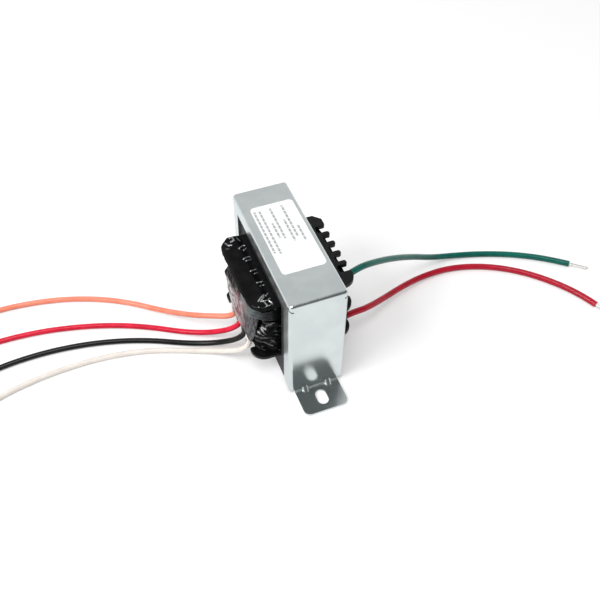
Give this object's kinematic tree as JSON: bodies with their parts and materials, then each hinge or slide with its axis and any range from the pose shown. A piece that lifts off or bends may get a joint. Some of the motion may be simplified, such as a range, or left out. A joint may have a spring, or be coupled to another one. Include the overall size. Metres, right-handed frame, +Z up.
{
  "type": "step-down transformer",
  "caption": "Open-frame step-down transformer: laminated core in a folded channel bracket with slotted feet, black split bobbin, taped windings and colour-coded leads.",
  "frame": {"origin": "on the mounting surface, under the middle of the bracket", "axes": "+X through the stack towards the secondary leads, +Y along the bracket from foot to foot, +Z up from the mounting surface"},
  "size_m": [0.3095, 0.1059, 0.0573],
  "materials": {
    "zinc_steel": "bright zinc-plated sheet",
    "lamination_steel": "blued silicon steel, varnished",
    "black_moulding": "glossy moulded nylon",
    "enamelled_copper": "enamelled copper wire",
    "black_tape": "polyester insulating tape",
    "black_film": "glossy film, creased",
    "clear_tape": "clear polyester tape over black",
    "black_sleeve": "insulating sleeve",
    "orange_insulation": "PVC insulation",
    "red_insulation": "PVC insulation",
    "black_insulation": "PVC insulation",
    "white_insulation": "PVC insulation",
    "green_insulation": "PVC insulation",
    "tinned_strands": "tinned copper strands",
    "sticker": "white coated paper"
  },
  "bodies": {
    "root": {"bracket": "zinc_steel", "e_laminations": "lamination_steel", "i_laminations": "lamination_steel", "bobbin": "black_moulding", "primary_winding": "enamelled_copper", "secondary_winding": "enamelled_copper", "primary_tape": "black_tape", "secondary_tape": "black_tape", "comb_film": "black_film", "joint_tape": "clear_tape", "tape_tail": "clear_tape", "joint_sleeves": "black_sleeve", "exit_sleeves": "black_sleeve", "orange_lead": "orange_insulation", "red_lead": "red_insulation", "black_lead": "black_insulation", "white_lead": "white_insulation", "green_lead": "green_insulation", "red_secondary_lead": "red_insulation", "label": "sticker", "orange_lead_end": "tinned_strands", "red_lead_end": "tinned_strands", "black_lead_end": "tinned_strands", "white_lead_end": "tinned_strands", "green_lead_end": "tinned_strands", "red_secondary_lead_end": "tinned_strands"}
  },
  "joints": []
}
